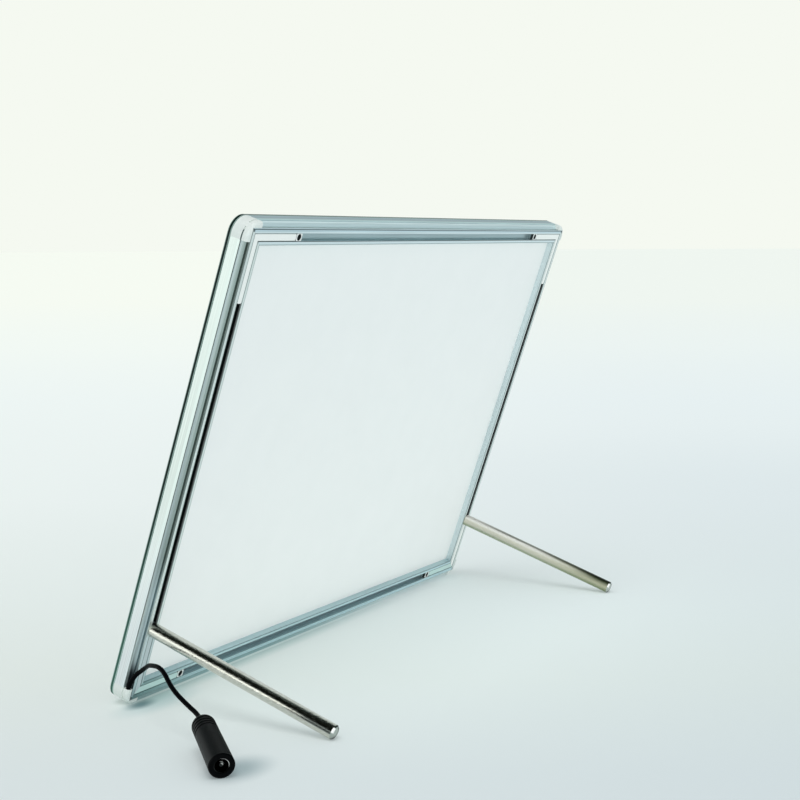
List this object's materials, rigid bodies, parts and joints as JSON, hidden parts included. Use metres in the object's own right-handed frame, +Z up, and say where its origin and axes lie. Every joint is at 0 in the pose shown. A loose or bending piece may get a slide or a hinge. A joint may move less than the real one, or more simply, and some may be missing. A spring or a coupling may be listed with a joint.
{
  "type": "poster light box",
  "caption": "Slim edge-lit poster light box with a slotted aluminium frame, magnetic clear front, screw-in rod legs and a short supply lead.",
  "frame": {"origin": "on the surface it stands on, under the middle of its box without the free supply lead", "axes": "+X along the width, towards the side with the supply lead; +Z up; the display faces -Y and leans back towards +Y, where the legs stand"},
  "size_m": [0.3691, 0.114, 0.2108],
  "materials": {
    "satin_aluminium": "satin anodised",
    "white_plastic": "satin, warm white",
    "white_panel": "matt white",
    "reflector_white": "matt white film",
    "guide_acrylic": "clear, faint green edge",
    "front_acrylic": "clear, polished edge",
    "mask_black": "printed film",
    "poster_white": "blank backlit film",
    "diffuser_white": "opal",
    "board_white": "white solder mask",
    "chip_yellow": "phosphor over white",
    "ribbon_red_black": "thin insulated lead",
    "magnet_nickel": "nickel plate",
    "disc_steel": "zinc plate",
    "nut_steel": "nickel plate",
    "rod_chrome": "polished",
    "cable_black": "glossy jacket",
    "socket_black": "moulded",
    "contact_nickel": "nickel plate",
    "insulator_black": "moulded"
  },
  "bodies": {
    "frame": {"bottom_rail": "satin_aluminium", "left_rail": "satin_aluminium", "top_rail": "satin_aluminium", "right_rail": "satin_aluminium", "corner_cap_bottom_left": "white_plastic", "corner_key_bottom_left": "white_plastic", "corner_cap_top_left": "white_plastic", "corner_key_top_left": "white_plastic", "corner_cap_top_right": "white_plastic", "corner_key_top_right": "white_plastic", "corner_cap_bottom_right": "white_plastic", "corner_key_bottom_right": "white_plastic", "cap_magnets": "magnet_nickel", "back_panel": "white_panel", "reflector_sheet": "reflector_white", "light_guide": "guide_acrylic", "diffuser_sheet": "diffuser_white", "poster_film": "poster_white", "light_board_bottom": "board_white", "light_board_top": "board_white", "light_chips_bottom": "chip_yellow", "light_chips_top": "chip_yellow", "supply_ribbon": "ribbon_red_black", "link_ribbon": "ribbon_red_black", "socket_housing": "socket_black", "socket_sleeve": "contact_nickel", "socket_insulator": "insulator_black", "socket_pin": "contact_nickel", "supply_cable": "cable_black"},
    "front": {"front_sheet": "front_acrylic", "border_mask": "mask_black", "front_discs": "disc_steel"},
    "carriage_left": {"leg_nut_left": "nut_steel"},
    "leg_left": {"leg_rod_left": "rod_chrome"},
    "carriage_right": {"leg_nut_right": "nut_steel"},
    "leg_right": {"leg_rod_right": "rod_chrome"},
    "nut_bottom_left": {"spare_nut_bottom_left": "nut_steel"},
    "nut_top_left": {"spare_nut_top_left": "nut_steel"},
    "nut_top_right": {"spare_nut_top_right": "nut_steel"},
    "nut_bottom_right": {"spare_nut_bottom_right": "nut_steel"}
  },
  "joints": [
    {"name": "front_pull", "type": "slide", "parent": "frame", "child": "front", "axis": [0, -0.9457, 0.3249], "range_m": [0, 0.08]},
    {"name": "leg_left_slide", "type": "slide", "parent": "frame", "child": "carriage_left", "axis": [0, 0.3249, 0.9457], "range_m": [0, 0.146]},
    {"name": "leg_left_turn", "type": "hinge", "parent": "carriage_left", "child": "leg_left", "pos_m": [-0.1494, -0.03564, 0.0344], "axis": [0, -0.9457, 0.3249], "continuous": true},
    {"name": "leg_right_slide", "type": "slide", "parent": "frame", "child": "carriage_right", "axis": [0, 0.3249, 0.9457], "range_m": [0, 0.146]},
    {"name": "leg_right_turn", "type": "hinge", "parent": "carriage_right", "child": "leg_right", "pos_m": [0.1494, -0.03564, 0.0344], "axis": [0, -0.9457, 0.3249], "continuous": true},
    {"name": "nut_bottom_left_slide", "type": "slide", "parent": "frame", "child": "nut_bottom_left", "axis": [1, 0, 0], "range_m": [0, 0.115]},
    {"name": "nut_top_left_slide", "type": "slide", "parent": "frame", "child": "nut_top_left", "axis": [1, 0, 0], "range_m": [0, 0.115]},
    {"name": "nut_top_right_slide", "type": "slide", "parent": "frame", "child": "nut_top_right", "axis": [-1, 0, 0], "range_m": [0, 0.115]},
    {"name": "nut_bottom_right_slide", "type": "slide", "parent": "frame", "child": "nut_bottom_right", "axis": [-1, 0, 0], "range_m": [0, 0.115]}
  ]
}
